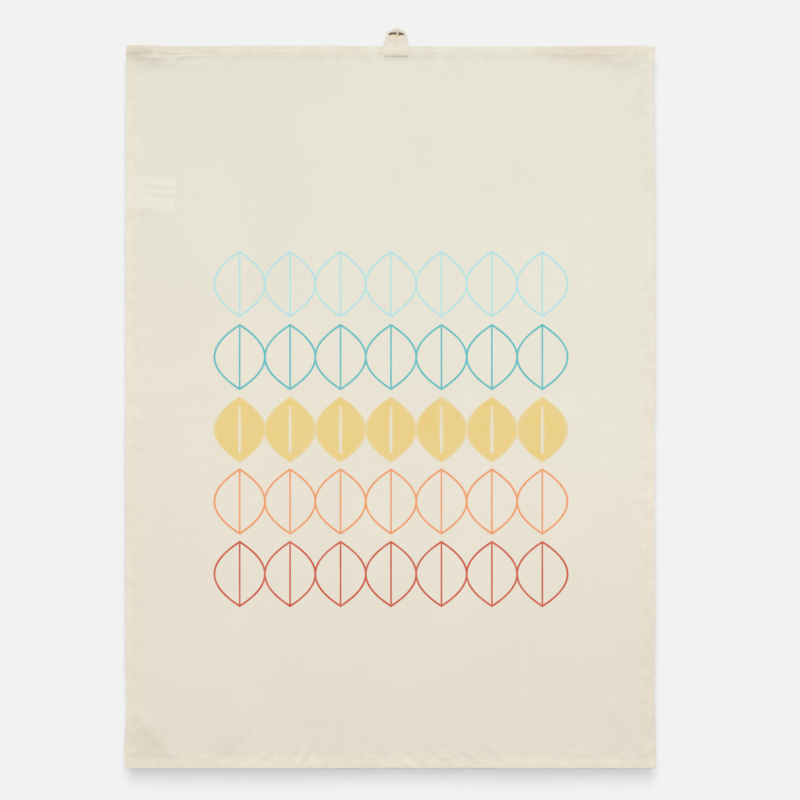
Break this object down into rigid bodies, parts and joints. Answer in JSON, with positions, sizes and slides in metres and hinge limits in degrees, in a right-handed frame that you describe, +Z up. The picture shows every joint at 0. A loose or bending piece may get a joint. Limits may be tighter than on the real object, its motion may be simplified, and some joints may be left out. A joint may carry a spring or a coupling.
{
  "type": "tea towel",
  "caption": "Printed cotton tea towel with turned hems and a tape loop to hang it from a hook; it folds in thirds and in half along its usual fold lines.",
  "frame": {"origin": "hook seat: middle of the flat underside of the loop's top, where a hook carries the towel", "axes": "+Z up when hung, -Y out of the printed front, +X to the right seen from the front"},
  "size_m": [0.5, 0.0031, 0.6983],
  "materials": {
    "cotton_cloth": "natural unbleached plain weave with small seed flecks",
    "hem_cloth": "the same cloth, turned twice, slightly darker where it is layered",
    "stitch_thread": "natural cotton sewing thread",
    "loop_tape": "folded cotton tape",
    "label_tape": null,
    "ink_pale_aqua": "matte screen-print ink",
    "ink_teal": "matte screen-print ink",
    "ink_mustard": "matte screen-print ink",
    "ink_orange": "matte screen-print ink",
    "ink_red": "matte screen-print ink"
  },
  "bodies": {
    "centre_top": {"cloth_centre_top": "cotton_cloth", "hem_top_centre": "hem_cloth", "loop_tack_stitch": "stitch_thread", "loop_tail_left": "loop_tape", "loop_tail_right": "loop_tape", "print_row1_centre": "ink_pale_aqua", "print_row2_centre": "ink_teal", "stitch_back_top_centre": "stitch_thread", "stitch_front_top_centre": "stitch_thread"},
    "left_top": {"care_label_tail": "label_tape", "cloth_left_top": "cotton_cloth", "hem_left_top": "hem_cloth", "hem_top_left": "hem_cloth", "print_row1_left": "ink_pale_aqua", "print_row2_left": "ink_teal", "stitch_back_left_top": "stitch_thread", "stitch_back_top_left": "stitch_thread", "stitch_front_left_top": "stitch_thread", "stitch_front_top_left": "stitch_thread"},
    "right_top": {"cloth_right_top": "cotton_cloth", "hem_right_top": "hem_cloth", "hem_top_right": "hem_cloth", "print_row1_right": "ink_pale_aqua", "print_row2_right": "ink_teal", "stitch_back_right_top": "stitch_thread", "stitch_back_top_right": "stitch_thread", "stitch_front_right_top": "stitch_thread", "stitch_front_top_right": "stitch_thread"},
    "centre_bottom": {"cloth_centre_bottom": "cotton_cloth", "hem_bottom_centre": "hem_cloth", "print_row3_centre": "ink_mustard", "print_row4_centre": "ink_orange", "print_row5_centre": "ink_red", "stitch_back_bottom_centre": "stitch_thread", "stitch_front_bottom_centre": "stitch_thread"},
    "left_bottom": {"cloth_left_bottom": "cotton_cloth", "hem_bottom_left": "hem_cloth", "hem_left_bottom": "hem_cloth", "print_row3_left": "ink_mustard", "print_row4_left": "ink_orange", "print_row5_left": "ink_red", "stitch_back_bottom_left": "stitch_thread", "stitch_back_left_bottom": "stitch_thread", "stitch_front_bottom_left": "stitch_thread", "stitch_front_left_bottom": "stitch_thread"},
    "right_bottom": {"cloth_right_bottom": "cotton_cloth", "hem_bottom_right": "hem_cloth", "hem_right_bottom": "hem_cloth", "print_row3_right": "ink_mustard", "print_row4_right": "ink_orange", "print_row5_right": "ink_red", "stitch_back_bottom_right": "stitch_thread", "stitch_back_right_bottom": "stitch_thread", "stitch_front_bottom_right": "stitch_thread", "stitch_front_right_bottom": "stitch_thread"},
    "hang_loop": {"hang_loop": "loop_tape"},
    "care_label": {"care_label": "label_tape"}
  },
  "joints": [
    {"name": "left_fold", "type": "hinge", "parent": "centre_top", "child": "left_top", "pos_m": [-0.0883, -0.0059, -0.1709], "axis": [0, 0, 1], "range_deg": [0, 179.5]},
    {"name": "right_fold", "type": "hinge", "parent": "centre_top", "child": "right_top", "pos_m": [0.0795, -0.0035, -0.1709], "axis": [0, 0, -1], "range_deg": [0, 179.5]},
    {"name": "half_fold", "type": "hinge", "parent": "centre_top", "child": "centre_bottom", "pos_m": [-0.005, -0.0019, -0.3418], "axis": [1, 0, 0], "range_deg": [0, 160]},
    {"name": "left_fold_lower", "type": "hinge", "parent": "centre_bottom", "child": "left_bottom", "pos_m": [-0.0883, -0.0059, -0.5127], "axis": [0, 0, 1], "range_deg": [0, 179.5]},
    {"name": "right_fold_lower", "type": "hinge", "parent": "centre_bottom", "child": "right_bottom", "pos_m": [0.0795, -0.0035, -0.5127], "axis": [0, 0, -1], "range_deg": [0, 179.5]},
    {"name": "loop_tilt", "type": "hinge", "parent": "centre_top", "child": "hang_loop", "pos_m": [0, 0, -0.0133], "axis": [1, 0, 0], "range_deg": [-90, 90], "stiffness_Nm_per_rad": 0.0001},
    {"name": "label_flip", "type": "hinge", "parent": "left_top", "child": "care_label", "pos_m": [-0.2451, -0.0005, -0.1517], "axis": [0, 0, 1], "range_deg": [0, 150], "stiffness_Nm_per_rad": 0.0001}
  ],
  "couplings": [
    {"joint": "left_fold_lower", "follows": "left_fold", "ratio": 1},
    {"joint": "right_fold_lower", "follows": "right_fold", "ratio": 1}
  ]
}
